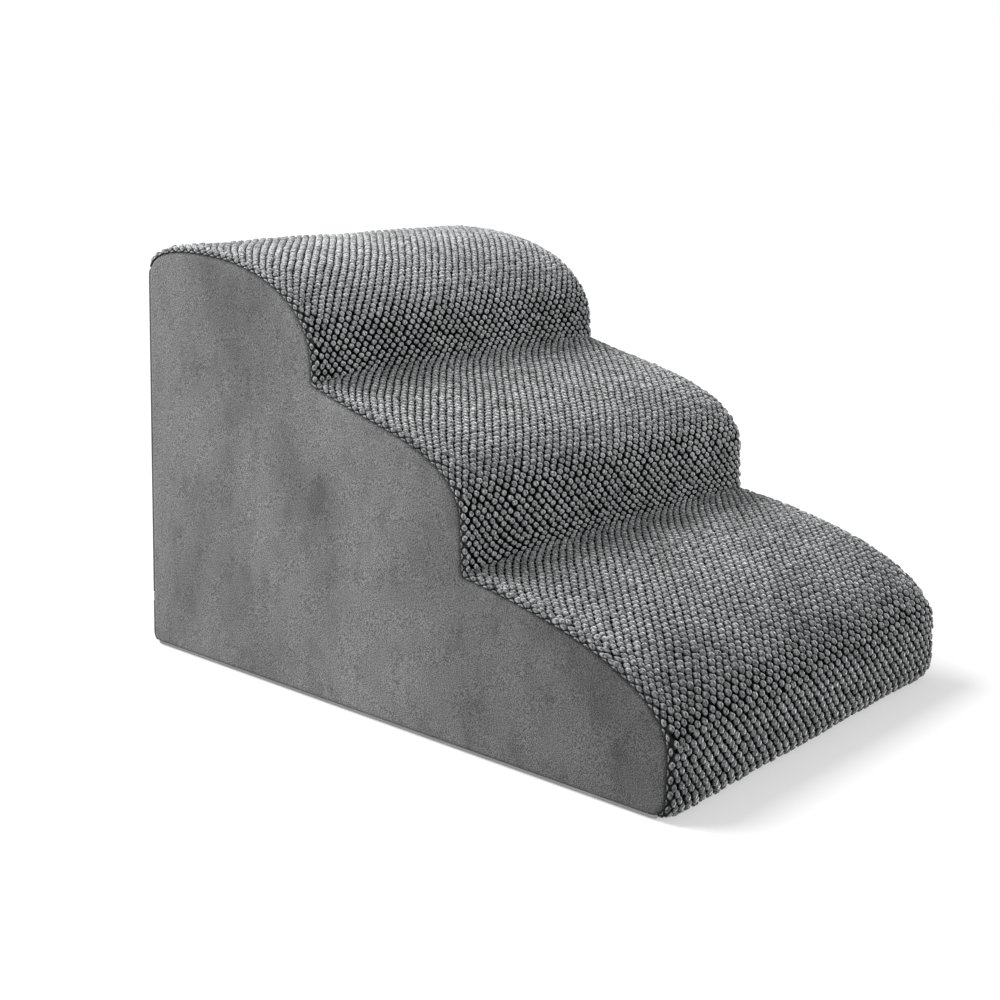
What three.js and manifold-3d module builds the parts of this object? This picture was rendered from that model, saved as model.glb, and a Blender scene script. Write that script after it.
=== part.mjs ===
// A three-step foam pet stair: a core of three glued foam slabs in a sewn cover with a zip.
// Millimetres. +Z is up, the low front step faces -Y, the width runs along X, and the
// origin is on the floor under the middle of the stair. A side outline is a list of (y, z).
import * as THREE from "three";
import { mergeVertices } from "three/addons/utils/BufferGeometryUtils.js";
import Module from "manifold-3d";

// ---- driving dimensions ----

const WIDTH = 400; // over the two side panels
const LENGTH = 598; // from the front seam to the back panel
const HIGHEST_SEAM = 376; // the seam line on the top step
const PLUSH_RISE = 4; // how far the pebble plush stands out from the seam line

const SIDE_CLOTH = 2;
const BACK_CLOTH = 2;
const BOTTOM_CLOTH = 2;
const PLUSH_BACKING = 2; // the part of the tread panel behind the seam line
const GAP = 0.3; // between pieces that touch
const FOAM_GAP = 0.4; // between the foam and the cloth

const FRONT_Y = -LENGTH / 2;
const BACK_Y = LENGTH / 2;
const CLOTH_FOOT_Z = BOTTOM_CLOTH + GAP;
const BACK_CURVE_END_Z = 346; // where the tread panel ends and the upper back panel starts

// Each step is one curve from its nose, where the riser below it ends, to its heel, where
// the next riser starts. It leaves the nose straight up and meets the heel at a slope.
const STEPS = [
  { nose: [FRONT_Y, 50], heel: [-96, 145], slope: 7, reach: 62, rise: 62 },
  { nose: [-94, 184], heel: [79, 275], slope: 18, reach: 78, rise: 60 },
  { nose: [80, 290], heel: [235, HIGHEST_SEAM], slope: 0, reach: 82, rise: 58 },
];
const BACK_CURVE_REACH = 36;
const BACK_CURVE_DROP = 26;
const CURVE_PIECES = 12;

// The zip runs straight across the back. Depths are measured outwards from the back panel.
const ZIP_Z = 45;
const ZIP_TAPE = { length: 372, height: 13, inner: -3.1, outer: -2.3, from: 0.6 };
const ZIP_COIL = { length: 350, from: 0.6, to: 3.0, inner: -2.0, outer: -0.3 };
const ZIP_STOP_LENGTH = 4;
const ZIP_OPENING = 9; // between the two back panels
const ZIP_GROOVE = { height: 29, depth: 3.2 }; // cut in the foam behind the tapes
const SLIDER = { length: 11, width: 9, plate: 1.0, lift: 0.2, web: 0.6, webLength: 4 };
const SLIDER_X = ZIP_COIL.length / 2 - SLIDER.length / 2 - 1.5;
const SLIDER_FLANGE = 0.8;
const SLIDER_BACK_PLATE = { inner: -4.6, outer: -3.5, width: 8.2 };
const BAIL = { length: 9, hole: 6, width: 1.6, inner: 2.8, outer: 4.0 };
const PULL = { length: 30, thick: 0.8, eyeWidth: 4.6, tipWidth: 7, window: 5.2, arm: 1.0 };
const PULL_HINGE_DEPTH = 2.0;

// ---- colours ----

const LOOKS = {
  plush: { color: 0x6f7273, roughness: 0.95 },
  velvet: { color: 0x7c7c7c, roughness: 0.9 },
  nonslip: { color: 0xa9a9a8, roughness: 0.85 },
  foam: { color: 0xe9e3d2, roughness: 1 },
  tape: { color: 0x606162, roughness: 0.9 },
  coil: { color: 0x55565a, roughness: 0.5 },
  zinc: { color: 0x4c4d50, roughness: 0.4, metalness: 0.8 },
};

// ---- outlines ----

// The seam line, from the front foot over the three steps and down to the end of the back
// curve, with the index of each step's heel.
function seamLine() {
  const points = [new THREE.Vector2(FRONT_Y, CLOTH_FOOT_Z)];
  const heels = [];
  for (const step of STEPS) {
    const angle = THREE.MathUtils.degToRad(step.slope);
    const nose = new THREE.Vector2(...step.nose);
    const heel = new THREE.Vector2(...step.heel);
    const alongRise = new THREE.Vector2(nose.x, nose.y + step.rise);
    const alongSlope = new THREE.Vector2(
      heel.x - step.reach * Math.cos(angle),
      heel.y - step.reach * Math.sin(angle),
    );
    const curve = new THREE.CubicBezierCurve(nose, alongRise, alongSlope, heel);
    points.push(...curve.getPoints(CURVE_PIECES));
    heels.push(points.length - 1);
  }
  const top = points[points.length - 1];
  const backCurve = new THREE.CubicBezierCurve(
    top,
    new THREE.Vector2(top.x + BACK_CURVE_REACH, top.y),
    new THREE.Vector2(BACK_Y, BACK_CURVE_END_Z + BACK_CURVE_DROP),
    new THREE.Vector2(BACK_Y, BACK_CURVE_END_Z),
  );
  points.push(...backCurve.getPoints(CURVE_PIECES / 2).slice(1));
  return { points, heels };
}

// The same line moved outwards by a distance, or inwards where it is negative. Both of its
// ends are upright, so they move level.
function moved(points, distance) {
  return points.map((point, i) => {
    if (i === 0) return new THREE.Vector2(point.x - distance, point.y);
    if (i === points.length - 1) return new THREE.Vector2(point.x + distance, point.y);
    const into = point.clone().sub(points[i - 1]);
    const onward = points[i + 1].clone().sub(point);
    const normalIn = new THREE.Vector2(-into.y, into.x).normalize();
    const normalOn = new THREE.Vector2(-onward.y, onward.x).normalize();
    const middle = normalIn.clone().add(normalOn).normalize();
    return point.clone().addScaledVector(middle, distance / middle.dot(normalIn));
  });
}

const seam = seamLine();

function sideOutline() {
  return [...seam.points, new THREE.Vector2(BACK_Y, CLOTH_FOOT_Z)];
}

function treadOutline() {
  const outside = moved(seam.points, PLUSH_RISE);
  const inside = moved(seam.points, -PLUSH_BACKING);
  return [...outside, ...inside.reverse()];
}

// One foam slab: a step's curve in front, the back face behind, and flat glued faces.
function slabOutline(index) {
  const inset = BACK_CLOTH + FOAM_GAP;
  const line = moved(seam.points, -inset);
  const backY = BACK_Y - inset;
  const isTop = index === STEPS.length - 1;
  const start = index === 0 ? 0 : seam.heels[index - 1];
  const end = isTop ? line.length : seam.heels[index] + 1;
  const step = line.slice(start, end);
  const bottomZ = index === 0 ? BOTTOM_CLOTH + FOAM_GAP : step[0].y + GAP;
  step[0] = new THREE.Vector2(step[0].x, bottomZ);
  if (!isTop) step.push(new THREE.Vector2(backY, step[step.length - 1].y));
  if (index === 0) step.push(...zipGroove(backY));
  step.push(new THREE.Vector2(backY, bottomZ));
  return step;
}

function zipGroove(backY) {
  const topZ = ZIP_Z + ZIP_GROOVE.height / 2;
  const bottomZ = ZIP_Z - ZIP_GROOVE.height / 2;
  const floorY = backY - ZIP_GROOVE.depth;
  return [
    new THREE.Vector2(backY, topZ),
    new THREE.Vector2(floorY, topZ),
    new THREE.Vector2(floorY, bottomZ),
    new THREE.Vector2(backY, bottomZ),
  ];
}

// ---- solids ----

// An outline in (y, z), made `width` wide along X about x.
function acrossX(outline, width, x = 0) {
  const geometry = new THREE.ExtrudeGeometry(new THREE.Shape(outline), {
    depth: width,
    bevelEnabled: false,
  });
  geometry.applyMatrix4(
    new THREE.Matrix4().makeBasis(
      new THREE.Vector3(0, 1, 0),
      new THREE.Vector3(0, 0, 1),
      new THREE.Vector3(1, 0, 0),
    ),
  );
  return geometry.translate(x - width / 2, 0, 0);
}

// A box from its lowest to its highest corner.
function boxBetween(low, high) {
  const size = high.map((value, i) => value - low[i]);
  const middle = high.map((value, i) => (value + low[i]) / 2);
  return new THREE.BoxGeometry(...size).translate(...middle);
}

const wasm = await Module();
wasm.setup();

function solid(geometry) {
  const bare = new THREE.BufferGeometry();
  bare.setAttribute("position", geometry.getAttribute("position"));
  bare.setIndex(geometry.index);
  const merged = mergeVertices(bare, 1e-4);
  return new wasm.Manifold(
    new wasm.Mesh({
      numProp: 3,
      vertProperties: merged.attributes.position.array,
      triVerts: new Uint32Array(merged.index.array),
    }),
  );
}

function joined(geometries) {
  const whole = geometries.map(solid).reduce((a, b) => a.add(b));
  const mesh = whole.getMesh();
  const geometry = new THREE.BufferGeometry();
  geometry.setAttribute("position", new THREE.BufferAttribute(mesh.vertProperties, 3));
  geometry.setIndex(new THREE.BufferAttribute(mesh.triVerts, 1));
  geometry.computeVertexNormals();
  return geometry;
}

function piece(name, geometry, look) {
  const mesh = new THREE.Mesh(geometry, new THREE.MeshStandardMaterial(LOOKS[look]));
  mesh.name = name;
  return mesh;
}

// ---- foam core ----

function foamCore() {
  const core = new THREE.Group();
  const width = WIDTH - 2 * (SIDE_CLOTH + FOAM_GAP);
  ["foam_base_slab", "foam_middle_slab", "foam_top_slab"].forEach((name, i) => {
    core.add(piece(name, acrossX(slabOutline(i), width), "foam"));
  });
  return core;
}

// ---- cover ----

function backPanel(name, lowZ, highZ) {
  const halfWidth = WIDTH / 2 - SIDE_CLOTH - GAP;
  const low = [-halfWidth, BACK_Y - BACK_CLOTH, lowZ];
  const high = [halfWidth, BACK_Y, highZ];
  return piece(name, boxBetween(low, high), "velvet");
}

function cover() {
  const shell = new THREE.Group();
  const sideX = WIDTH / 2 - SIDE_CLOTH / 2;
  const treadWidth = WIDTH - 2 * (SIDE_CLOTH + GAP);
  shell.add(
    piece("tread_panel", acrossX(treadOutline(), treadWidth), "plush"),
    piece("left_side_panel", acrossX(sideOutline(), SIDE_CLOTH, -sideX), "velvet"),
    piece("right_side_panel", acrossX(sideOutline(), SIDE_CLOTH, sideX), "velvet"),
    backPanel("back_panel_upper", ZIP_Z + ZIP_OPENING / 2, BACK_CURVE_END_Z - GAP),
    backPanel("back_panel_lower", CLOTH_FOOT_Z, ZIP_Z - ZIP_OPENING / 2),
  );
  const low = [-WIDTH / 2, FRONT_Y, 0];
  const high = [WIDTH / 2, BACK_Y, BOTTOM_CLOTH];
  shell.add(piece("bottom_panel", boxBetween(low, high), "nonslip"));
  return shell;
}

// ---- zip ----

// These solids are made about the zip's own origin: x along the zip, y outwards from the
// back panel's face, z up from the line where the two halves meet.

function zipHalf(side, sign) {
  const half = new THREE.Group();
  const band = (from, to) => [from * sign, to * sign].sort((a, b) => a - b);
  const [tapeLow, tapeHigh] = band(ZIP_TAPE.from, ZIP_TAPE.from + ZIP_TAPE.height);
  const tape = boxBetween(
    [-ZIP_TAPE.length / 2, ZIP_TAPE.inner, tapeLow],
    [ZIP_TAPE.length / 2, ZIP_TAPE.outer, tapeHigh],
  );
  const coilMiddle = (sign * (ZIP_COIL.from + ZIP_COIL.to)) / 2;
  const coilSection = new THREE.EllipseCurve(
    (ZIP_COIL.inner + ZIP_COIL.outer) / 2,
    coilMiddle,
    (ZIP_COIL.outer - ZIP_COIL.inner) / 2,
    (ZIP_COIL.to - ZIP_COIL.from) / 2,
  );
  const coil = acrossX(coilSection.getPoints(12).slice(0, -1), ZIP_COIL.length);
  const [stopLow, stopHigh] = band(ZIP_COIL.from, ZIP_COIL.to);
  const stopX = ZIP_COIL.length / 2 + GAP;
  const stop = boxBetween(
    [stopX, ZIP_COIL.inner, stopLow],
    [stopX + ZIP_STOP_LENGTH, ZIP_COIL.outer, stopHigh],
  );
  half.add(
    piece("zip_tape_" + side, tape, "tape"),
    piece("zip_coil_" + side, coil, "coil"),
    piece("zip_top_stop_" + side, stop, "zinc"),
  );
  return half;
}

function zipBottomStop() {
  const endX = -ZIP_COIL.length / 2 - GAP;
  const low = [endX - ZIP_STOP_LENGTH, ZIP_COIL.inner, -ZIP_COIL.to];
  const high = [endX, ZIP_COIL.outer, ZIP_COIL.to];
  return piece("zip_bottom_stop", boxBetween(low, high), "zinc");
}

// Two plates with the coils between them, side flanges, a thin web that runs between the
// coils, and the bail that holds the pull.
function zipSlider() {
  const halfLength = SLIDER.length / 2;
  const halfWidth = SLIDER.width / 2 - SLIDER_FLANGE / 2;
  const plateTop = SLIDER.lift + SLIDER.plate;
  const frontPlate = boxBetween(
    [-halfLength, SLIDER.lift, -halfWidth],
    [halfLength, plateTop, halfWidth],
  );
  const backPlate = boxBetween(
    [-halfLength, SLIDER_BACK_PLATE.inner, -SLIDER_BACK_PLATE.width / 2],
    [halfLength, SLIDER_BACK_PLATE.outer, SLIDER_BACK_PLATE.width / 2],
  );
  const flanges = [-1, 1].map((sign) => {
    const inner = sign * (ZIP_COIL.to + GAP);
    const outer = sign * (ZIP_COIL.to + GAP + SLIDER_FLANGE);
    return boxBetween(
      [-halfLength, ZIP_COIL.inner + GAP / 2, Math.min(inner, outer)],
      [halfLength, SLIDER.lift + SLIDER.plate / 2, Math.max(inner, outer)],
    );
  });
  const web = boxBetween(
    [-SLIDER.webLength / 2, SLIDER_BACK_PLATE.outer - GAP, -SLIDER.web / 2],
    [SLIDER.webLength / 2, SLIDER.lift + SLIDER.plate / 2, SLIDER.web / 2],
  );
  return piece("zip_slider", joined([frontPlate, backPlate, ...flanges, web, bail()]), "zinc");
}

// An arch along the zip, with room under it for the pull's crossbar.
function bail() {
  const footDepth = SLIDER.lift + SLIDER.plate / 2;
  const half = BAIL.length / 2;
  const holeHalf = BAIL.hole / 2;
  const corner = 0.8;
  const arch = new THREE.Shape([
    new THREE.Vector2(-half, footDepth),
    new THREE.Vector2(-holeHalf, footDepth),
    new THREE.Vector2(-holeHalf, BAIL.inner),
    new THREE.Vector2(holeHalf, BAIL.inner),
    new THREE.Vector2(holeHalf, footDepth),
    new THREE.Vector2(half, footDepth),
    new THREE.Vector2(half, BAIL.outer - corner),
    new THREE.Vector2(half - corner, BAIL.outer),
    new THREE.Vector2(-half + corner, BAIL.outer),
    new THREE.Vector2(-half, BAIL.outer - corner),
  ]);
  const geometry = new THREE.ExtrudeGeometry(arch, { depth: BAIL.width, bevelEnabled: false });
  return geometry.translate(0, 0, -BAIL.width / 2);
}

// A flat tab that lies along the zip. The bar at the end of its window is the hinge, and
// that bar's middle is the tab's own origin.
function zipPull() {
  const bar = PULL.thick / 2;
  const eye = PULL.eyeWidth / 2;
  const tip = PULL.tipWidth / 2;
  const shoulderX = -PULL.window - 3;
  const endX = -PULL.length;
  const tab = new THREE.Shape();
  tab.moveTo(bar, -eye);
  tab.lineTo(bar, eye);
  tab.lineTo(shoulderX + 2, eye);
  tab.lineTo(shoulderX - 3, tip);
  tab.lineTo(endX + tip, tip);
  tab.absarc(endX + tip, 0, tip, Math.PI / 2, (3 * Math.PI) / 2, false);
  tab.lineTo(shoulderX - 3, -tip);
  tab.lineTo(shoulderX + 2, -eye);
  const opening = new THREE.Path();
  opening.moveTo(-bar, -eye + PULL.arm);
  opening.lineTo(-PULL.window, -eye + PULL.arm);
  opening.lineTo(-PULL.window, eye - PULL.arm);
  opening.lineTo(-bar, eye - PULL.arm);
  const cordHole = new THREE.Path();
  cordHole.absarc(endX + tip, 0, 1.3, 0, 2 * Math.PI, true);
  tab.holes.push(opening, cordHole);
  const geometry = new THREE.ExtrudeGeometry(tab, {
    depth: PULL.thick,
    bevelEnabled: false,
    curveSegments: 8,
  });
  geometry.translate(0, 0, -PULL.thick / 2);
  geometry.rotateX(Math.PI / 2);
  return piece("zip_pull", geometry, "zinc");
}

function zip() {
  const chain = new THREE.Group();
  chain.position.set(0, BACK_Y, ZIP_Z);
  chain.add(zipHalf("upper", 1), zipHalf("lower", -1), zipBottomStop());
  const slider = new THREE.Group();
  slider.position.x = SLIDER_X;
  const pull = zipPull();
  pull.position.y = PULL_HINGE_DEPTH;
  slider.add(zipSlider(), pull);
  chain.add(slider);
  return chain;
}

const stair = new THREE.Group();
stair.name = "pet_stair";
stair.add(foamCore(), cover(), zip());

export default stair;
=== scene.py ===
"""A three-step foam pet stair in its zipped cloth cover: the surfaces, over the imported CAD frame."""
import math

import bmesh
import bpy
import numpy as np
from mathutils import Matrix, Vector, geometry, noise


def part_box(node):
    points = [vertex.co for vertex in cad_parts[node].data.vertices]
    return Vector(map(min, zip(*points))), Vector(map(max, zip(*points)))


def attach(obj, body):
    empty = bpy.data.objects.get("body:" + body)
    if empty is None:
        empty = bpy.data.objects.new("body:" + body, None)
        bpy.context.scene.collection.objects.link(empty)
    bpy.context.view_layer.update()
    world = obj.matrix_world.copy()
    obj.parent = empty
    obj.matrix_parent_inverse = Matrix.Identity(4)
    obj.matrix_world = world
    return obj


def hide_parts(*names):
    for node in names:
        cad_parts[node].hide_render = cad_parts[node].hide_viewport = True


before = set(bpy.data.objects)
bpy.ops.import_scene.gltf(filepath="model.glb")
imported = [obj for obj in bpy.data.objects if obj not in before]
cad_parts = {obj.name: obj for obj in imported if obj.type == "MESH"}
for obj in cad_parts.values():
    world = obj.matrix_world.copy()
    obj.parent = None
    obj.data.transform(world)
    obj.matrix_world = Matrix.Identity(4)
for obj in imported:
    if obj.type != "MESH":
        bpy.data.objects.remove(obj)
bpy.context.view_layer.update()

MM = 0.001


def node_box_mm(name):
    low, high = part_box(name)
    return [value / MM for value in low], [value / MM for value in high]


# ---------------------------------------------------------------- driving dimensions, in mm

(SIDE_X, FRONT_Y, _), (_, BACK_Y, TOP_Z) = node_box_mm("left_side_panel")
HALF_WIDTH = -SIDE_X

# Each step is one curve from its nose to its heel, as in the CAD.
STEPS = [
    {"nose": (FRONT_Y, 50), "heel": (-96, 145), "slope": 7, "reach": 62, "rise": 62},
    {"nose": (-94, 184), "heel": (79, 275), "slope": 18, "reach": 78, "rise": 60},
    {"nose": (80, 290), "heel": (235, TOP_Z), "slope": 0, "reach": 82, "rise": 58},
]
CREASES = [step["heel"] for step in STEPS[:2]]
BACK_CURVE_END_Z = 346
BACK_CURVE_REACH = 36
BACK_CURVE_DROP = 26
TREAD_END_Z = 357  # where the plush meets the back
FRONT_FOOT_RADIUS = 17
BACK_FOOT_RADIUS = 11
FRONT_SEAM = (FRONT_Y + 8, 0.6)  # where the plush meets the bottom cloth, as (y, z)
BACK_SEAM = (BACK_Y - 6, 1.2)  # and where the back does
CREASE_SOFTNESS = 15  # how widely the cloth bridges a crease in the middle of the stair
CREASE_SPAN = 55

EDGE_RADIUS = 4.0  # where a side turns onto the tread, the back or the bottom
SEAM_ANGLE = math.radians(70)  # how far round that edge the seam lies
SEAM_SINK = 1.6  # how deep a seam is drawn in
SEAM_SPAN = 2.8  # how far from a seam the cloth starts to dip, and the plush does
PLUSH_SEAM_SPAN = 3.5
SEAM_LINE = 2.4  # how far from a seam its shadowed line reaches
FLOOR_FLARE = 2.0  # the cover stands out at the floor, and more so at the front
FRONT_FLARE = 5.0
TOP_LEAN = 8.0  # how far each side leans in at the top, and the back leans out
BACK_LEAN = 1.5
RIGHT_FLARE = 6.0  # the right side stands out further than the left, below the top step
RIGHT_FLARE_FADE = (220, 310)  # the heights between which that fades
CREASE_PULL = (1.5, 3.0)  # how far the sides are pulled in at each crease, and how widely
CREASE_PULL_REACH = 45
SWAY = ((1.1, 95, 1), (0.5, 36, 2))  # unevenness of the cloth: how deep, how wide and a seed
SWAY_FADE = 35  # how far in from a seam it is in full
SIDE_RIPPLE = ((0.6, 60, 4), (0.25, 22, 6))  # the same for the sides
SIDE_RIPPLE_FADE = (2, 40)

CLOTH_PRESSURE = 3.0  # how hard the foam presses the cloth out, for how many steps
CLOTH_STEPS = 20
CLOTH_LIMIT = 2.6  # and how far it may go

NUB_ACROSS = 9.25  # the repeat of the plush's nubs; a second nub sits in the middle of each
NUB_ALONG = 9.5
NUB_HEIGHT = 4.4
TROD_HEIGHT = 0.75  # how much lower and wider the nubs are where the plush lies flat
TROD_SPREAD = 1.12
NUB_FOOT = 0.8  # a nub's foot and its shoulder, as shares of its cell
NUB_SHOULDER = 0.56
SEAM_CROWDING = 0.5  # how much narrower the nubs are at a side seam, and how far in that fades
CROWDING_SPAN = 48
FRONT_STRETCH = 0.3  # how much longer they are at the foot of the front, and how far up that fades
STRETCH_SPAN = 75
FRONT_FLATTENING = 0.4  # how flat they are there
SEAM_GROOVE_SHADE_LIFT = 0.44  # how far the painted shade in the grooves is lifted along a side seam, as the least the nub trait falls to there
SIDE_SQUEEZE = (0.45, 14)  # a nub's height at a side seam, as a share, and how far in it is full
END_SQUEEZE = (0.5, 6)  # and the same at the two ends of the plush
DOT_SPACING = 11.0  # the grip dots under the bottom cloth
DOT_ROW_SPACING = DOT_SPACING * 0.87
DOT_RADIUS = 1.8
DOT_HEIGHT = 0.6
DOT_FOOT_Z = 0.1  # a dot starts inside the cloth
DOT_MARGINS = (22, 20, 14)  # clear of dots at the front, the back and the sides


# ---------------------------------------------------------------- the side outline

def bezier(p0, p1, p2, p3, count):
    t = np.linspace(0, 1, count)[:, None]
    p0, p1, p2, p3 = (np.array(p, float) for p in (p0, p1, p2, p3))
    return (1 - t) ** 3 * p0 + 3 * (1 - t) ** 2 * t * p1 + 3 * (1 - t) * t**2 * p2 + t**3 * p3


def arc(centre, radius, start, end, count=12):
    angle = np.radians(np.linspace(start, end, count))
    return np.array(centre) + radius * np.column_stack([np.cos(angle), np.sin(angle)])


def path_length(points):
    return np.concatenate([[0], np.cumsum(np.hypot(*np.diff(points, axis=0).T))])


def even(points, spacing=0.5):
    length = path_length(points)
    s = np.linspace(0, length[-1], int(length[-1] / spacing) + 1)
    return np.column_stack([np.interp(s, length, points[:, k]) for k in (0, 1)])


def closed_outline():
    """(y, z) from the middle of the floor, round the front, over the steps and down the back."""
    foot = (FRONT_Y + FRONT_FOOT_RADIUS, FRONT_FOOT_RADIUS)
    parts = [np.array([[0, 0]]), arc(foot, FRONT_FOOT_RADIUS, 270, 180)]
    for step in STEPS:
        angle = math.radians(step["slope"])
        nose, heel = step["nose"], step["heel"]
        over_nose = (nose[0], nose[1] + step["rise"])
        before_heel = (
            heel[0] - step["reach"] * math.cos(angle),
            heel[1] - step["reach"] * math.sin(angle),
        )
        parts.append(bezier(nose, over_nose, before_heel, heel, 90))
    top = STEPS[-1]["heel"]
    back = (BACK_Y, BACK_CURVE_END_Z)
    over = (top[0] + BACK_CURVE_REACH, top[1])
    parts.append(bezier(top, over, (back[0], back[1] + BACK_CURVE_DROP), back, 40)[1:])
    heel = (BACK_Y - BACK_FOOT_RADIUS, BACK_FOOT_RADIUS)
    parts.append(arc(heel, BACK_FOOT_RADIUS, 0, -90))
    parts.append(np.array([[0, 0]]))
    points = np.vstack(parts)
    behind = np.clip(points[:, 0] / BACK_Y, 0, 1)
    points[:, 0] += BACK_LEAN * points[:, 1] / TOP_Z * behind
    return even(points)


def smooth(low, high, value):
    t = np.clip((value - low) / (high - low), 0, 1)
    return t * t * (3 - 2 * t)


def eased(distance, start, span):
    """From a starting share at no distance up to 1 at the span."""
    return start + (1 - start) * smooth(0, span, distance)


OUTLINE = closed_outline()
OUTLINE_LENGTH = path_length(OUTLINE)
ROUND_LENGTH = OUTLINE_LENGTH[-1]


def length_at(y, z):
    return float(OUTLINE_LENGTH[np.argmin(np.hypot(OUTLINE[:, 0] - y, OUTLINE[:, 1] - z))])


def bridged_outline():
    """The outline where the cloth bridges the creases instead of following them in."""
    step = OUTLINE_LENGTH[1]
    reach = int(3 * CREASE_SOFTNESS / step)
    kernel = np.exp(-0.5 * (np.arange(-reach, reach + 1) * step / CREASE_SOFTNESS) ** 2)
    kernel /= kernel.sum()
    padded = np.pad(OUTLINE, ((reach, reach), (0, 0)), mode="edge")
    soft = np.column_stack([np.convolve(padded[:, k], kernel, "valid") for k in (0, 1)])
    near = np.zeros(len(OUTLINE))
    for y, z in CREASES:
        near = np.maximum(near, 1 - smooth(0.4, 1, np.abs(OUTLINE_LENGTH - length_at(y, z)) / CREASE_SPAN))
    return OUTLINE + (soft - OUTLINE) * near[:, None]


BRIDGED = bridged_outline()
TREAD_START = length_at(*FRONT_SEAM)
TREAD_END = length_at(BACK_Y, TREAD_END_Z)
BACK_FOOT = length_at(*BACK_SEAM)


def sample(curve, s):
    s = np.mod(s, ROUND_LENGTH)
    return np.column_stack([np.interp(s, OUTLINE_LENGTH, curve[:, k]) for k in (0, 1)])


def normals(curve, s, soft=1.5):
    """The outward (y, z) normals, over a few millimetres so that a crease folds softly."""
    along = sample(curve, s + soft) - sample(curve, s - soft)
    along /= np.hypot(*along.T)[:, None] + 1e-9
    return np.column_stack([-along[:, 1], along[:, 0]])


def half_width(y, z, sign=-1):
    """Half the cover's width on one side: flared at the floor and the front, leaning in
    towards the top, and pulled in at the creases."""
    width = HALF_WIDTH + FLOOR_FLARE - TOP_LEAN * z / TOP_Z + FRONT_FLARE * y / FRONT_Y
    width = width + (np.asarray(sign) > 0) * RIGHT_FLARE * (1 - smooth(*RIGHT_FLARE_FADE, z))
    for (crease_y, crease_z), pull in zip(CREASES, CREASE_PULL):
        away = np.hypot(y - crease_y, z - crease_z) / CREASE_PULL_REACH
        width = width - pull * np.exp(-(away**2))
    return width


def soft_noise(points, size, seed):
    """A smooth value from -1 to 1 for each point, with bumps about size across."""
    offset = Vector((seed * 17.3, seed * 5.1, seed * 9.7))
    return np.array([noise.noise(Vector(point) / size + offset) for point in points])


# ---------------------------------------------------------------- mesh helpers

def mesh_object(name, vertices, faces, material):
    """A smooth mesh from places in mm."""
    mesh = bpy.data.meshes.new(name)
    mesh.from_pydata((np.asarray(vertices) * MM).tolist(), [], [list(face) for face in faces])
    mesh.update()
    mesh.polygons.foreach_set("use_smooth", [True] * len(mesh.polygons))
    obj = bpy.data.objects.new(name, mesh)
    bpy.context.scene.collection.objects.link(obj)
    mesh.materials.append(material)
    return obj


def point_values(obj, name, values):
    store = obj.data.attributes.new(name, "FLOAT", "POINT")
    store.data.foreach_set("value", np.asarray(values, np.float32))


def strip_faces(rows, columns, closed=False):
    """Quads between `rows` rings of `columns` points each."""
    faces = []
    for row in range(rows - 1):
        for i in range(columns if closed else columns - 1):
            j = (i + 1) % columns
            a, b = row * columns, (row + 1) * columns
            faces.append((a + i, a + j, b + j, b + i))
    return faces


def flipped(faces, wanted=True):
    return [tuple(face)[::-1] for face in faces] if wanted else faces


# ---------------------------------------------------------------- the cover's surface

PANEL_HALF = HALF_WIDTH - EDGE_RADIUS * (1 - SEAM_ANGLE)  # from the middle to a side seam
LEVEL_HALF = PANEL_HALF - EDGE_RADIUS * SEAM_ANGLE  # and to where that edge starts to turn


def cover_point(across, s, height, bridge):
    """Points of a panel that runs from side to side: across in mm from the middle; s round
    the outline; height outwards; bridge from 0 to 1, how far it bridges the creases."""
    flat = sample(OUTLINE, s) * (1 - bridge[:, None]) + sample(BRIDGED, s) * bridge[:, None]
    normal = normals(OUTLINE, s) * (1 - bridge[:, None]) + normals(BRIDGED, s) * bridge[:, None]
    normal /= np.hypot(*normal.T)[:, None]
    angle = np.clip(np.abs(across) - LEVEL_HALF, 0, None) / EDGE_RADIUS
    reach = half_width(flat[:, 0], flat[:, 1], np.sign(across)) - EDGE_RADIUS
    x = np.clip(np.abs(across), 0, LEVEL_HALF) / LEVEL_HALF * reach
    x += (EDGE_RADIUS + height) * np.sin(angle)
    out = height * np.cos(angle) - EDGE_RADIUS * (1 - np.cos(angle))
    return np.column_stack([np.sign(across) * x, flat + normal * out[:, None]])


def uneven(points, waves):
    """Bumps of several sizes together, in mm; each wave is (depth, size, seed)."""
    return sum(depth * soft_noise(points, size, seed) for depth, size, seed in waves)


def sway(points, from_seam):
    """The slow unevenness of cloth over foam, in mm."""
    return uneven(points, SWAY) * smooth(0, SWAY_FADE, from_seam)


# ---------------------------------------------------------------- the plush treads

NUB_STEPS = (
    0,
    (1 - NUB_FOOT) / 2,
    (1 - NUB_SHOULDER) / 2,
    0.5,
    (1 + NUB_SHOULDER) / 2,
    (1 + NUB_FOOT) / 2,
)
NUB_ROUNDNESS = 2.3  # the power of a nub's ring: 2 is a circle, and more is squarer
NUB_MIDDLE_DIP = 0.84  # the height of a nub's middle and foot, as shares of its shoulder's
NUB_FOOT_RISE = 0.42
TALLNESS_SPREAD = 0.09  # how much nubs differ in height
NUB_DRIFT = 0.7  # how far rows wander, in mm, and how far single nubs do
NUB_LOOSENESS = 0.4


def rounded(p, q):
    """Turns the square rings of a cell's grid, p and q from -1 to 1, into a nub's round ones."""
    ring = np.maximum(np.abs(p), np.abs(q))
    power = NUB_ROUNDNESS
    round_ring = (np.abs(p) ** power + np.abs(q) ** power) ** (1 / power) + 1e-9
    share = 1 - smooth(NUB_FOOT, 1, ring)
    size = 1 + (ring / round_ring - 1) * share
    return np.where(ring > 0, p * size, 0), np.where(ring > 0, q * size, 0), ring


def nub_dome(ring):
    """The height of a nub from its middle, 0, to the edge of its cell, 1."""
    return np.interp(ring, (0, NUB_SHOULDER, NUB_FOOT, 1), (NUB_MIDDLE_DIP, 1.0, NUB_FOOT_RISE, 0))


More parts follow.
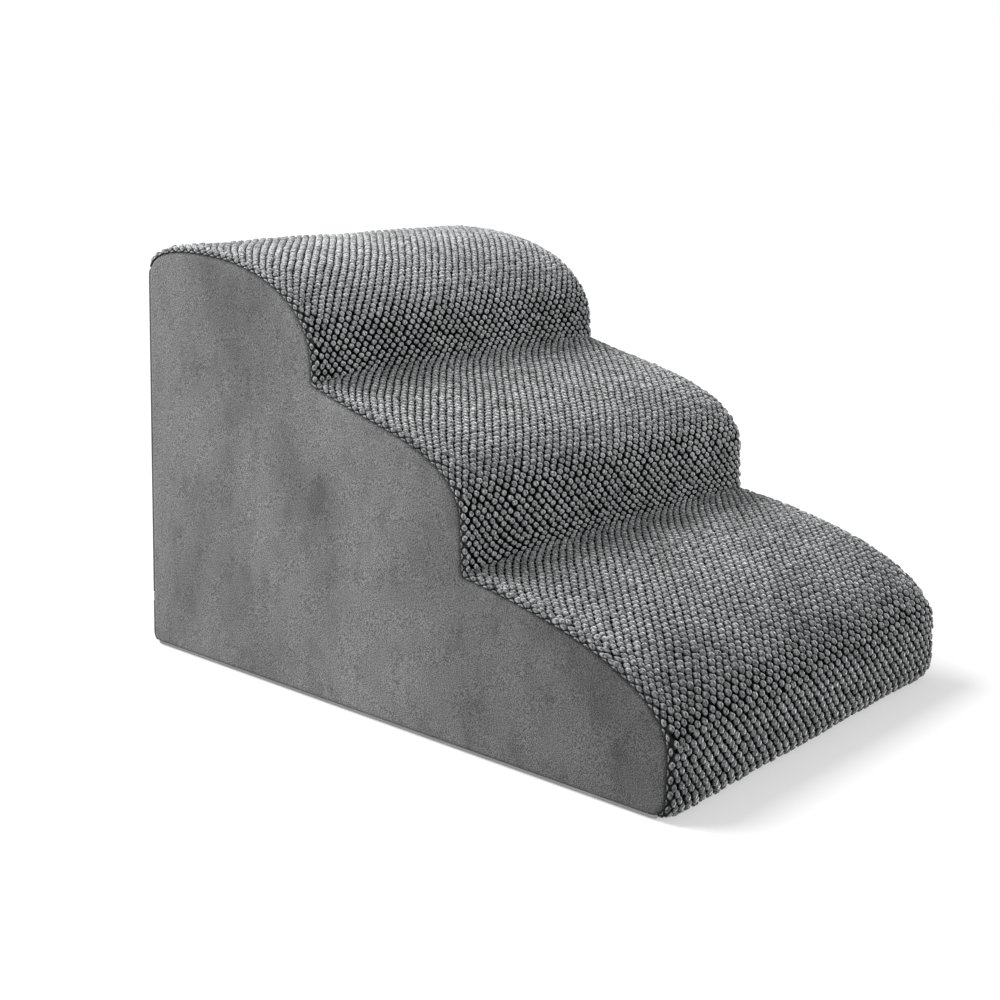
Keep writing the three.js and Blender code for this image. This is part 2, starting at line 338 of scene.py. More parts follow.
def nub_lattice():
    """The nub grid of the whole tread: places, faces and each face's cell."""
    across_cells = round(2 * PANEL_HALF / (NUB_ACROSS / 2))
    along_cells = round((TREAD_END - TREAD_START) / (NUB_ALONG / 2))
    count = len(NUB_STEPS)
    first_b = -math.ceil(across_cells / 2) - 1
    cells = math.ceil((across_cells + along_cells) / 2) + 2
    index = np.arange(cells * count)
    place = index // count + np.array(NUB_STEPS)[index % count]
    a, b = np.meshgrid(place, place + first_b, indexing="ij")
    u, v = a - b, a + b
    inner = np.array(NUB_STEPS)[index % count] * 2 - 1
    p, q = np.meshgrid(inner, inner, indexing="ij")
    row, column = np.meshgrid(index // count, index // count, indexing="ij")
    cell = row * cells + column

    grid = np.arange(u.size).reshape(u.shape)
    corners = np.stack([grid[:-1, :-1], grid[1:, :-1], grid[1:, 1:], grid[:-1, 1:]], axis=-1)
    middle_u = (u[:-1, :-1] + u[1:, 1:]) / 2
    middle_v = (v[:-1, :-1] + v[1:, 1:]) / 2
    cell_v = row[:-1, :-1] + column[:-1, :-1] + first_b + 1
    near = 1e-6
    in_u = (middle_u > near) & (middle_u < across_cells - near)
    in_v = (middle_v > near) & (middle_v < along_cells - near)
    faces, face_v = [], []
    halves = [
        (in_u & in_v, (0, 1, 2, 3)),
        ((np.abs(middle_u) < near) & in_v, (0, 1, 2)),
        ((np.abs(middle_u - across_cells) < near) & in_v, (0, 2, 3)),
        ((np.abs(middle_v) < near) & in_u, (1, 2, 3)),
        ((np.abs(middle_v - along_cells) < near) & in_u, (0, 1, 3)),
    ]
    for mask, kept in halves:
        faces += corners[mask][:, kept].tolist()
        face_v += cell_v[mask].tolist()
    round_p, round_q, ring = rounded(p, q)
    spread = 1 + (TROD_SPREAD - 1) * trodden(stretched(v.ravel() / along_cells)).reshape(v.shape)
    spread = np.where(ring < 0.99, spread, 1)
    round_p, round_q = round_p * spread, round_q * spread
    move_a, move_b = (round_p - p) / 2, (round_q - q) / 2
    across = crowded(((u + move_a - move_b).ravel() / across_cells * 2 - 1) * PANEL_HALF)
    along = stretched((v + move_a + move_b).ravel() / along_cells)
    face_along = stretched(np.array(face_v) / along_cells)
    return across, along, round_p.ravel(), round_q.ravel(), ring.ravel(), cell.ravel(), faces, face_along


def trodden(along):
    """From 0 where the plush stands upright to 1 where it lies flat; in between where it is
    stretched to the floor."""
    level = smooth(0.3, 0.85, normals(OUTLINE, along, 12)[:, 1])
    stretch = FRONT_FLATTENING * np.exp(-(((along - TREAD_START) / STRETCH_SPAN) ** 2))
    return np.maximum(level, stretch)


def crowded(across):
    """Places across the tread, closer together towards its two seams."""
    from_side = PANEL_HALF - np.abs(across)
    closer = from_side * (1 - SEAM_CROWDING * np.exp(-from_side / CROWDING_SPAN))
    closer /= 1 - SEAM_CROWDING * math.exp(-PANEL_HALF / CROWDING_SPAN)
    return np.sign(across) * (PANEL_HALF - closer)


def stretched(share):
    """Lengths along the tread for shares of it, further apart at the foot of the front."""
    whole = TREAD_END - TREAD_START
    length = share * whole
    more = FRONT_STRETCH * STRETCH_SPAN
    length = length + more * (1 - np.exp(-length / STRETCH_SPAN))
    return TREAD_START + length * whole / (whole + more)


def plush_surface(across, along, p, q, ring, cell):
    """Every point of the plush in mm, and what its colour depends on."""
    lot = np.random.default_rng(11)
    cells = cell.max() + 1
    tall = lot.normal(1, TALLNESS_SPREAD, cells)[cell]
    shade = lot.uniform(0, 1, cells)[cell]
    dome = nub_dome(ring)

    from_side = PANEL_HALF - np.abs(across)
    from_end = np.minimum(along - TREAD_START, TREAD_END - along)
    from_seam = np.minimum(from_side, from_end)
    bridge = smooth(4, 75, from_side)
    base = cover_point(across, along, 0 * along, bridge)
    squeezed = eased(from_side, *SIDE_SQUEEZE) * eased(from_end, *END_SQUEEZE)
    flat = trodden(along)
    height = NUB_HEIGHT * (1 + (TROD_HEIGHT - 1) * flat) * dome * tall * squeezed
    height -= SEAM_SINK * (1 - smooth(0, PLUSH_SEAM_SPAN, from_seam))
    height += sway(base, from_side)
    loose = smooth(0, 5, from_seam) * (1 + 1.6 * (1 - smooth(3, 16, from_side)))
    drift = NUB_DRIFT * soft_noise(base, 28, 3) * smooth(0, 14, from_side)
    slide = NUB_DRIFT * soft_noise(base, 24, 5) * smooth(0, 14, from_seam)
    drift += lot.normal(0, NUB_LOOSENESS, cells)[cell] * dome * loose
    slide += lot.normal(0, NUB_LOOSENESS, cells)[cell] * dome * loose
    places = cover_point(across + drift, along + slide, height, bridge)
    # The nub trait drives the painted shade between the nubs: it is lowered within 6 mm of any seam, which
    # paints shade along the seams, and raised on level plush.
    pile = dome ** (1.5 - 0.9 * flat) * eased(from_seam, 0.8, 6)
    traits = {
        # Held up in the grooves along a side seam, so the painted groove shade is dark grey there, not
        # black.
        "nub": np.maximum(pile, SEAM_GROOVE_SHADE_LIFT * (1 - smooth(3, 12, from_side))),
        "crown": np.exp(-((np.hypot(p, q) / 0.4) ** 2)),
        "lot": shade,
        "upslope_side": (p + q) / 4 + 0.5,
        "flat": flat,
    }
    return places, traits


def plush_strips(material):
    """The plush tread cover in three strips, parted along the grooves nearest each crease."""
    *lattice, faces, face_along = nub_lattice()
    across = lattice[0]
    used = np.unique(np.concatenate([np.array(face) for face in faces]))
    places, traits = plush_surface(*(values[used] for values in lattice))
    renumber = np.full(len(across), -1)
    renumber[used] = np.arange(len(used))
    marks = [-1e9] + [length_at(*crease) for crease in CREASES] + [1e9]
    strips = []
    for name, low, high in zip(("lower", "middle", "upper"), marks[:-1], marks[1:]):
        chosen = [f for f, s in zip(faces, face_along) if low < s <= high]
        own = np.unique(np.concatenate([np.array(face) for face in chosen]))
        local = np.full(len(across), -1)
        local[own] = np.arange(len(own))
        members = renumber[own]
        mapped = [[local[k] for k in face] for face in chosen]
        strip = mesh_object("tread_plush_" + name, places[members], mapped, material)
        for trait, values in traits.items():
            point_values(strip, trait, values[members])
        strips.append(strip)
    return strips


# ---------------------------------------------------------------- the sides

SIDE_ROWS = ((1.2, 3), (2.8, 3), (5, 4), (8, 5), (12, 6))  # how far in, and how far apart
SIDE_SPACING = 7.0
SIDE_DIP = (-1.5, 3.2)  # the curve down to the seam, from outside it to in from it


def seam_ring(s, sign):
    """The seam between a side and the panels that run across, at the lengths s."""
    flat = sample(OUTLINE, s)
    inward = EDGE_RADIUS * (1 - math.cos(SEAM_ANGLE)) + SEAM_SINK * math.cos(SEAM_ANGLE)
    yz = flat - normals(OUTLINE, s) * inward
    width = half_width(flat[:, 0], flat[:, 1], sign)
    x = width - EDGE_RADIUS + (EDGE_RADIUS - SEAM_SINK) * math.sin(SEAM_ANGLE)
    return np.column_stack([sign * x, yz])


def distance_to(border, points):
    """How far each point is from the nearest point of a border."""
    gap = np.full(len(points), 1e9)
    for chunk in np.array_split(border, 40):
        apart = np.hypot(points[:, :1] - chunk[:, 0], points[:, 1:] - chunk[:, 1])
        gap = np.minimum(gap, apart.min(axis=1))
    return gap


def inside(border, points):
    """Which points a closed border goes round."""
    y0, z0 = border.T
    y1, z1 = np.roll(border, -1, axis=0).T
    y, z = points[:, :1], points[:, 1:]
    crosses = (z0 > z) != (z1 > z)
    at = y0 + (z - z0) / np.where(z1 == z0, 1e-9, z1 - z0) * (y1 - y0)
    return np.count_nonzero(crosses & (y < at), axis=1) % 2 == 1


def side_mesh(border):
    """Triangles over a side: rows of points that follow its border, then an even spread."""
    closed = np.vstack([border, border[:1]])
    fine = even(closed, 1.0)
    along = np.roll(fine, -1, axis=0) - np.roll(fine, 1, axis=0)
    inward = np.column_stack([-along[:, 1], along[:, 0]]) / (np.hypot(*along.T)[:, None] + 1e-9)
    if not inside(border, (fine + inward * 2)[:1])[0]:
        inward = -inward
    chosen = []
    for depth, step in SIDE_ROWS:
        ring = (fine + inward * depth)[::step]
        chosen.append(ring[distance_to(fine, ring) > depth * 0.96])
    low, high = border.min(axis=0), border.max(axis=0)
    spacing = SIDE_SPACING
    ys, zs = np.meshgrid(np.arange(low[0], high[0], spacing), np.arange(low[1], high[1], spacing))
    ys = ys + np.where(np.arange(len(zs))[:, None] % 2, spacing / 2, 0)
    spread = np.column_stack([ys.ravel(), zs.ravel()])
    chosen.append(spread[distance_to(fine, spread) > 14])
    points = np.vstack(chosen)
    points = points[inside(border, points)]
    count = len(border)
    edges = [(i, (i + 1) % count) for i in range(count)]
    corners = [Vector(point) for point in np.vstack([border, points])]
    places, _, faces, _, _, _ = geometry.delaunay_2d_cdt(corners, edges, [], 1, 1e-6)
    return np.array([tuple(place) for place in places]), faces


def side_panel(name, sign, material):
    """A velvet side, which dips to its seam and fills out over the foam."""
    steps = [np.arange(0, ROUND_LENGTH, 2.5)]
    for crease in CREASES:
        steps.append(length_at(*crease) + np.arange(-6, 6, 0.8))
    s = np.unique(np.round(np.concatenate(steps), 2))
    s = s[np.concatenate([[True], np.diff(s) > 0.5])]
    ring = seam_ring(s, sign)
    places, faces = side_mesh(ring[:, 1:])
    gap = distance_to(even(np.vstack([ring[:, 1:], ring[:1, 1:]]), 1.0), places)
    full = half_width(places[:, 0], places[:, 1], sign)
    start = SEAM_SINK * math.sin(SEAM_ANGLE) + EDGE_RADIUS * (1 - math.sin(SEAM_ANGLE))
    dip = start * (1 - smooth(*SIDE_DIP, gap)) / (1 - smooth(*SIDE_DIP, 0.0))
    x = full - dip
    x[: len(s)] = np.abs(ring[:, 0])
    points = np.column_stack([sign * x, places])
    points[:, 0] += sign * uneven(points, SIDE_RIPPLE) * smooth(*SIDE_RIPPLE_FADE, gap)
    middle = points[list(faces[0])]
    facing = np.cross(middle[1] - middle[0], middle[2] - middle[0])[0]
    panel = mesh_object(name, points, flipped(faces, facing * sign < 0), material)
    point_values(panel, "seam", smooth(0, SEAM_LINE, gap))
    fill_out(panel, np.flatnonzero(gap < 3.5))
    return panel


def fill_out(panel, held):
    """Cloth held at its seams and pressed out by the foam behind it, up to a limit."""
    group = panel.vertex_groups.new(name="seam")
    group.add([int(k) for k in held], 1.0, "REPLACE")
    before = point_places(panel.data)
    cloth = panel.modifiers.new("cloth", "CLOTH")
    cloth.settings.quality = 4
    cloth.settings.mass = 0.25
    cloth.settings.vertex_group_mass = group.name
    cloth.settings.use_pressure = True
    cloth.settings.uniform_pressure_force = CLOTH_PRESSURE
    cloth.settings.effector_weights.gravity = 0
    for step in range(1, CLOTH_STEPS + 1):
        bpy.context.scene.frame_set(step)
    pressed = panel.evaluated_get(bpy.context.evaluated_depsgraph_get())
    move = point_places(pressed.data) - before
    panel.modifiers.remove(cloth)
    panel.vertex_groups.remove(group)
    far = np.linalg.norm(move, axis=1) / (CLOTH_LIMIT * MM) + 1e-9
    after = before + move * (np.tanh(far) / far)[:, None]
    panel.data.vertices.foreach_set("co", after.ravel())
    panel.data.update()
    bpy.context.scene.frame_set(1)


def point_places(mesh):
    places = np.empty(len(mesh.vertices) * 3)
    mesh.vertices.foreach_get("co", places)
    return places.reshape(-1, 3)


# ---------------------------------------------------------------- back and bottom

HEM_DEPTHS = (2.2, 0.6)  # how far in the turned edge of a hem goes, at its end and its fold
HEM_LEAN = 0.35
PANEL_COLUMNS = 70
BACK_SWAY = 0.7  # the back and bottom are this much as uneven as the treads


def cross_panel(name, s_values, material, hems, on_floor):
    """A plain cloth panel from side seam to side seam, between two places of the outline. An
    end is either sunk into its seam or turned in as a hem."""
    turned = LEVEL_HALF + np.linspace(0, EDGE_RADIUS * SEAM_ANGLE, 6)
    between = np.linspace(-LEVEL_HALF, LEVEL_HALF, PANEL_COLUMNS)[1:-1]
    across = np.concatenate([-turned[::-1], between, turned])
    s = list(s_values)
    depth = [0.0] * len(s)
    if hems[0]:
        s = [s[0] + HEM_LEAN, s[0]] + s
        depth = list(HEM_DEPTHS) + depth
    if hems[1]:
        s = s + [s[-1], s[-1] - HEM_LEAN]
        depth = depth + list(HEM_DEPTHS[::-1])
    s, depth = np.array(s), np.array(depth)
    grid_across, grid_s = np.meshgrid(across, s, indexing="ij")
    _, grid_depth = np.meshgrid(across, depth, indexing="ij")
    flat_across, flat_s = grid_across.ravel(), grid_s.ravel()
    from_side = PANEL_HALF - np.abs(flat_across)
    sink = 1 - smooth(0, SEAM_SPAN, from_side)
    for end, hemmed in zip((s_values[0], s_values[-1]), hems):
        if not hemmed:
            sink = np.maximum(sink, 1 - smooth(0, SEAM_SPAN, np.abs(flat_s - end)))
    zero = np.zeros_like(flat_s)
    base = cover_point(flat_across, flat_s, zero, zero)
    gap = np.minimum(from_side, np.minimum(np.abs(flat_s - s_values[0]), np.abs(flat_s - s_values[-1])))
    height = sway(base, gap) * BACK_SWAY
    if on_floor:
        height = -np.abs(height) / 2
    height -= SEAM_SINK * sink + grid_depth.ravel()
    places = cover_point(flat_across, flat_s, height, zero)
    panel = mesh_object(name, places, flipped(strip_faces(len(across), len(s))), material)
    point_values(panel, "seam", smooth(0, SEAM_LINE, from_side))
    if not on_floor:
        fill_out(panel, np.flatnonzero(gap < 4))
    return panel


def grip_dots(name, material):
    """The rubber dots under the bottom cloth, in staggered rows."""
    around = 10
    rings = ((1.0, 0.0), (0.86, 0.55), (0.5, 0.9))
    vertices, faces = [], []
    front_margin, back_margin, side_margin = DOT_MARGINS
    rows = np.arange(FRONT_Y + front_margin, BACK_Y - back_margin, DOT_ROW_SPACING)
    for number, y in enumerate(rows):
        reach = half_width(y, 0) - side_margin
        offset = DOT_SPACING / 2 if number % 2 else 0
        for x in np.arange(-reach + offset, reach, DOT_SPACING):
            base = len(vertices)
            for size, depth in rings:
                for k in range(around):
                    angle = 2 * math.pi * k / around
                    vertices.append(
                        (
                            x + DOT_RADIUS * size * math.cos(angle),
                            y + DOT_RADIUS * size * math.sin(angle),
                            DOT_FOOT_Z - DOT_HEIGHT * depth,
                        )
                    )
            for face in strip_faces(len(rings), around, closed=True):
                faces.append(tuple(base + k for k in face)[::-1])
            faces.append(tuple(base + (len(rings) - 1) * around + k for k in range(around))[::-1])
    return mesh_object(name, vertices, faces, material)


# ---------------------------------------------------------------- the zip

HEM_STITCH = 3.2  # from the zip's folded edges to their topstitching
STITCH_MARGIN = 12  # from that topstitching's ends to the sides
TAB_START = 1.5  # how far past the zip's end an end tab starts
TAB_HALF = 6.0
TAB_FOLD = (2.4, 0.9)  # the depths of its folded edge
TAB_DEPTH = 0.5
ZIP_Z = (node_box_mm("zip_coil_upper")[0][2] + node_box_mm("zip_coil_lower")[1][2]) / 2


def coil_teeth(name, side, material):
    """One side of the nylon coil: a flattened spiral sewn along its tape."""
    low, high = node_box_mm("zip_coil_" + side)
    pitch, wire, around, turn = 1.45, 0.34, 6, 10
    count = int((high[0] - low[0] - 2 * wire) / pitch)
    middle = [(low[k] + high[k]) / 2 for k in range(3)]
    radius_y = (high[1] - low[1]) / 2 - wire
    radius_z = (high[2] - low[2]) / 2 - wire
    t = np.linspace(0, 2 * math.pi * count, count * turn + 1)
    squarish = np.sign(np.cos(t)) * np.abs(np.cos(t)) ** 0.7
    path = np.column_stack(
        [
            low[0] + wire + t / (2 * math.pi) * pitch,
            middle[1] + radius_y * np.sin(t),
            middle[2] + radius_z * squarish,
        ]
    )
    return tube(name, path, wire, around, material)


def tube(name, path, radius, around, material):
    """A round wire along a path, with its two ends closed."""
    along = np.gradient(path, axis=0)
    along /= np.linalg.norm(along, axis=1)[:, None]
    side = np.cross(along, (1.0, 0.0, 0.001))
    side /= np.linalg.norm(side, axis=1)[:, None]
    up = np.cross(along, side)
    angle = np.linspace(0, 2 * math.pi, around, endpoint=False)
    rings = (
        path[:, None]
        + radius * np.cos(angle)[None, :, None] * side[:, None]
        + radius * np.sin(angle)[None, :, None] * up[:, None]
    )
    faces = strip_faces(len(path), around, closed=True)
    faces.append(tuple(range(around))[::-1])
    faces.append(tuple((len(path) - 1) * around + k for k in range(around)))
    return mesh_object(name, rings.reshape(-1, 3), flipped(faces), material)


def zip_tape(name, side, material):
    """A woven tape: a thin strip with ribs along it and a thicker edge under the coil."""
    low, high = node_box_mm("zip_tape_" + side)
    sign = 1 if side == "upper" else -1
    inner = low[2] if sign > 0 else high[2]
    width = high[2] - low[2]
    count = 34
    share = np.linspace(0, 1, count)
    thick = (high[1] - low[1]) * (0.62 + 0.1 * np.cos(share * math.pi * 22))
    thick[0] = thick[-1] = 0.3
    middle = (low[1] + high[1]) / 2
    xs = np.linspace(low[0], high[0], 150)
    section = np.vstack(
        [
            np.column_stack([middle + thick / 2, inner + sign * share * width]),
            np.column_stack([middle - thick / 2, inner + sign * share * width])[::-1],
        ]
    )
    rows = [np.column_stack([np.full(len(section), x), section]) for x in xs]
    faces = strip_faces(len(xs), len(section), closed=True)
    faces.append(tuple(range(len(section)))[::-1])
    faces.append(tuple((len(xs) - 1) * len(section) + k for k in range(len(section))))
    return mesh_object(name, np.vstack(rows), flipped(faces, sign < 0), material)


def zip_end_tab(name, sign, material):
    """A folded velvet tab that closes the slot between the two back panels at the zip's end."""
    stop = node_box_mm("zip_bottom_stop")[0][0]
    reach = half_width(BACK_Y, ZIP_Z, sign) - EDGE_RADIUS
    start = (abs(stop) + TAB_START) * LEVEL_HALF / reach
    across = np.concatenate([[start, start], np.linspace(start, PANEL_HALF, 16)])
    depth = np.concatenate([TAB_FOLD, np.full(16, TAB_DEPTH)])
    along = np.linspace(-TAB_HALF, TAB_HALF, 9)
    grid_across, grid_along = (grid.ravel() for grid in np.meshgrid(across, along, indexing="ij"))
    height = -np.repeat(depth, len(along)) - 1.6 * smooth(3.5, TAB_HALF, np.abs(grid_along))
    height -= SEAM_SINK * (1 - smooth(0, SEAM_SPAN, PANEL_HALF - grid_across))
    s = length_at(BACK_Y, ZIP_Z) + grid_along
    places = cover_point(sign * grid_across, s, height, np.zeros_like(s))
    tab = mesh_object(name, places, flipped(strip_faces(len(across), len(along)), sign > 0), material)
    point_values(tab, "seam", smooth(0, SEAM_LINE, PANEL_HALF - grid_across))
    return tab, (2 * TAB_HALF * MM, (PANEL_HALF - start + TAB_FOLD[0]) * MM)


def stitch_row(name, z, y, x_from, x_to, material):
    """A row of topstitching in thread, sunk a little in the cloth."""
    stitch, gap, radius, around, rings = 2.9, 0.9, 0.28, 6, 5
    vertices, faces = [], []
    for start in np.arange(x_from, x_to - stitch, stitch + gap):
        base = len(vertices)
        for k in range(rings):
            share = k / (rings - 1)
            size = radius * (0.35 + 0.65 * math.sin(math.pi * (0.12 + 0.76 * share)))
            lift = 0.22 * math.sin(math.pi * share) - 0.12
            for j in range(around):
                angle = 2 * math.pi * j / around
                vertices.append(
                    (start + stitch * share, y + lift + size * math.sin(angle), z + size * math.cos(angle))
                )
        for face in strip_faces(rings, around, closed=True):
            faces.append(tuple(base + k for k in face))
        faces.append(tuple(base + k for k in range(around))[::-1])
        faces.append(tuple(base + (rings - 1) * around + k for k in range(around)))
    return mesh_object(name, vertices, faces, material)


# ---------------------------------------------------------------- materials

def new_material(name):
    material = bpy.data.materials.new(name)
    material.use_nodes = True
    return material, material.node_tree.nodes, material.node_tree.links


def grey(value, cool=0.0):
    return (value * (1 - cool), value, value * (1 + cool), 1)


def object_place(nodes):
    return nodes.new("ShaderNodeTexCoord").outputs["Object"]


def object_axis(nodes, links, axis):
    split = nodes.new("ShaderNodeSeparateXYZ")
    links.new(object_place(nodes), split.inputs["Vector"])
    return split.outputs[axis]


def object_noise(nodes, links, scale, detail=3.0, stretch=None):
    place = object_place(nodes)
    if stretch:
        mapping = nodes.new("ShaderNodeMapping")
        mapping.inputs["Rotation"].default_value = stretch[0]
        mapping.inputs["Scale"].default_value = stretch[1]
        links.new(place, mapping.inputs["Vector"])
        place = mapping.outputs["Vector"]
    node = nodes.new("ShaderNodeTexNoise")
    node.inputs["Scale"].default_value = scale
    node.inputs["Detail"].default_value = detail
    links.new(place, node.inputs["Vector"])
    return node.outputs["Fac"]


def ramp(nodes, links, source, stops):
    """A colour ramp; stops are (place, colour)."""
    node = nodes.new("ShaderNodeValToRGB")
    while len(node.color_ramp.elements) < len(stops):
        node.color_ramp.elements.new(0.5)
    for element, (place, colour) in zip(node.color_ramp.elements, stops):
        element.position = place
        element.color = colour
    links.new(source, node.inputs["Fac"])
    return node.outputs["Color"]


def colour_mix(nodes, links, blend, first, second, share=None):
    """Two colours blended, wholly or by a share."""
    node = nodes.new("ShaderNodeMix")
    node.data_type = "RGBA"
    node.blend_type = blend
    node.inputs["Factor"].default_value = 1.0
    if share:
        links.new(share, node.inputs["Factor"])
    colours = [socket for socket in node.inputs if socket.type == "RGBA"]
    links.new(first, colours[0])
    links.new(second, colours[1])
    return [socket for socket in node.outputs if socket.type == "RGBA"][0]


def multiply(nodes, links, first, *others):
    for other in others:
        first = colour_mix(nodes, links, "MULTIPLY", first, other)
    return first


def bump(nodes, links, height, distance):
    node = nodes.new("ShaderNodeBump")
    node.inputs["Strength"].default_value = 1.0
    node.inputs["Distance"].default_value = distance
    links.new(height, node.inputs["Height"])
    return node.outputs["Normal"]


def attribute(nodes, name):
    node = nodes.new("ShaderNodeAttribute")
    node.attribute_name = name
    return node.outputs["Fac"]


def finish_shader(material, colour, normal=None, roughness=0.9, **sockets):
    nodes, links = material.node_tree.nodes, material.node_tree.links
    shader = nodes["Principled BSDF"]
    links.new(colour, shader.inputs["Base Color"])
    if normal:
        links.new(normal, shader.inputs["Normal"])
    shader.inputs["Roughness"].default_value = roughness
    for name, value in sockets.items():
        shader.inputs[name.replace("_", " ")].default_value = value
    return material


def painted_edge_sheen(nodes, links, colour, sheen_colour, tips):
    """Painted sheen: lightens the pile's colour where it is seen edge on, as cut pile looks against the
    light.
    """
    edge = nodes.new("ShaderNodeLayerWeight")
    edge.inputs["Blend"].default_value = 0.5
    stops = [(0.45, grey(0.0)), (0.7, grey(0.1)), (0.88, grey(1.0))]
    amount = ramp(nodes, links, edge.outputs["Facing"], stops)
    return colour_mix(nodes, links, "MIX", colour, sheen_colour, multiply(nodes, links, amount, tips))


# Painted shade and light by height in metres: the pile is darkest at the front's foot and lightest on the
# top step.
PLUSH_PAINTED_HEIGHT_SHADE = ((0.0, grey(0.35)), (0.14, grey(0.67)), (0.31, grey(0.74)), (0.37, grey(1.0)))


def plush_material():
    """Cut pile: dark between the nubs, partly the pile's darker base and partly painted shade; lightest on
    their shoulders and darker on their crowns, with painted light and shade by height, by tilt and on each
    nub's up-slope side, and a painted sheen where it is seen edge on.
    """
    material, nodes, links = new_material("pebble_plush")
    # Painted shade between the nubs: where the nub trait is low, in the grooves, the colour is darkened
    # almost to black, beyond the pile's own darker base.
    depth = ramp(
        nodes,
        links,
        attribute(nodes, "nub"),
        [
            (0.0, grey(0.001)),
            (0.34, grey(0.008, 0.02)),
            (0.5, grey(0.16, 0.02)),
            (0.7, grey(0.85, 0.02)),
            (1.0, grey(1.0, 0.02)),
        ],
    )
    crown = ramp(nodes, links, attribute(nodes, "crown"), [(0.1, grey(1.0)), (0.9, grey(0.36))])
    each = ramp(nodes, links, attribute(nodes, "lot"), [(0.0, grey(0.75)), (1.0, grey(1.0))])
    upslope_side = attribute(nodes, "upslope_side")
    # Painted light and shade on each nub: lighter on its up-slope side, which faces the back and the light,
    # and darker on its down-slope side.
    painted_upslope_light = ramp(nodes, links, upslope_side, [(0.15, grey(0.5)), (0.5, grey(0.85)), (0.78, grey(1.0))])
    # Painted light and shade by tilt: upright plush on the risers and front is lightened, and plush lying
    # level on the treads and at the front's foot is darkened.
    painted_tilt_light = ramp(nodes, links, attribute(nodes, "flat"), [(0.0, grey(1.2)), (1.0, grey(0.85))])
    patches = object_noise(nodes, links, 15, 3)
    patch = ramp(nodes, links, patches, [(0.35, grey(0.8)), (0.65, grey(1.0))])
    fibre = object_noise(nodes, links, 640, 2)
    fibres = ramp(nodes, links, fibre, [(0.4, grey(0.36)), (0.58, grey(1.0))])
    # Painted shade by height: the pile is painted darkest at the front's foot and lighter on the top step.
    wear_and_painted_shade = ramp(nodes, links, object_axis(nodes, links, "Z"), PLUSH_PAINTED_HEIGHT_SHADE)
    colour = multiply(nodes, links, depth, crown, each, painted_upslope_light, painted_tilt_light, patch, fibres, wear_and_painted_shade)
    tip_stops = [(0.0, grey(0.08)), (0.4, grey(0.5)), (0.7, grey(1.0))]
    tips = ramp(nodes, links, attribute(nodes, "nub"), tip_stops)
    # Painted sheen on the nub tops where they are seen edge on.
    sheen_colour = multiply(nodes, links, each, fibres, patch)
    colour = painted_edge_sheen(nodes, links, colour, sheen_colour, tips)
    normal = bump(nodes, links, fibre, 0.0016)
    return finish_shader(
        material,
        colour,
        normal,
        0.95,
        Specular_IOR_Level=0.02,
    )


def velvet_material():
    """Short-pile velvet, with soft brush marks where the pile lies another way; its tone is painted darker
    towards the front as shade, and painted shadow darkens its seams.
    """
    material, nodes, links = new_material("velvet")
    cloud = object_noise(nodes, links, 11, 4, ((0.5, 0, 0), (1, 1, 0.7)))
    clouds = ramp(nodes, links, cloud, [(0.34, grey(0.64)), (0.48, grey(0.85)), (0.62, grey(1.0))])
    mark = object_noise(nodes, links, 52, 3, ((0.7, 0, 0), (1, 1, 0.5)))
    marks = ramp(nodes, links, mark, [(0.3, grey(0.8)), (0.48, grey(1.0))])
    grain = object_noise(nodes, links, 1050, 1)
    grains = ramp(nodes, links, grain, [(0.36, grey(0.3)), (0.64, grey(1.0))])
    # The velvet's tone, with painted shade that darkens it towards the front of the stair and a little
    # towards the back.
    length = nodes.new("ShaderNodeMapRange")
    length.inputs["From Min"].default_value = FRONT_Y * MM
    length.inputs["From Max"].default_value = BACK_Y * MM
    links.new(object_axis(nodes, links, "Y"), length.inputs["Value"])
    tone_and_painted_front_shade = ramp(
        nodes,
        links,
        length.outputs["Result"],
        [(0.0, grey(0.155)), (0.25, grey(0.19)), (0.5, grey(0.26)), (0.8, grey(0.26)), (1.0, grey(0.235))],
    )
    # Painted shadow along the seams, within SEAM_LINE of them.
    seam = ramp(nodes, links, attribute(nodes, "seam"), [(0.0, grey(0.2)), (1.0, grey(1.0))])
    colour = multiply(nodes, links, tone_and_painted_front_shade, clouds, marks, grains, seam)
    normal = bump(nodes, links, grain, 0.0005)
    return finish_shader(
        material,
        colour,
        normal,
        0.9,
        Specular_IOR_Level=0.1,
        Sheen_Weight=0.3,
        Sheen_Roughness=0.4,
        Sheen_Tint=grey(0.9),
    )


def woven_material(name, value, thread, distance=0.0002, roughness=0.85):
    """A plain weave of threads, a little worn."""
    material, nodes, links = new_material(name)
    checks = nodes.new("ShaderNodeTexChecker")
    checks.inputs["Scale"].default_value = 1 / (thread * MM)
    checks.inputs["Color1"].default_value = grey(value)
    checks.inputs["Color2"].default_value = grey(value * 0.7)
    links.new(object_place(nodes), checks.inputs["Vector"])
    wear_and_painted_shade = ramp(nodes, links, object_noise(nodes, links, 30, 4), [(0.3, grey(0.85)), (0.7, grey(1.0))])
    colour = multiply(nodes, links, checks.outputs["Color"], wear_and_painted_shade)
    normal = bump(nodes, links, checks.outputs["Fac"], distance)
    return finish_shader(material, colour, normal, roughness, Specular_IOR_Level=0.2)


def foam_material():
    material, nodes, links = new_material("foam")
    cells = nodes.new("ShaderNodeTexVoronoi")
    cells.inputs["Scale"].default_value = 700
    links.new(object_place(nodes), cells.inputs["Vector"])
    stops = [(0.0, (0.5, 0.44, 0.3, 1)), (0.5, (0.83, 0.79, 0.66, 1))]
    tone = ramp(nodes, links, cells.outputs["Distance"], stops)
    normal = bump(nodes, links, cells.outputs["Distance"], 0.0006)
    return finish_shader(material, tone, normal, 1.0)


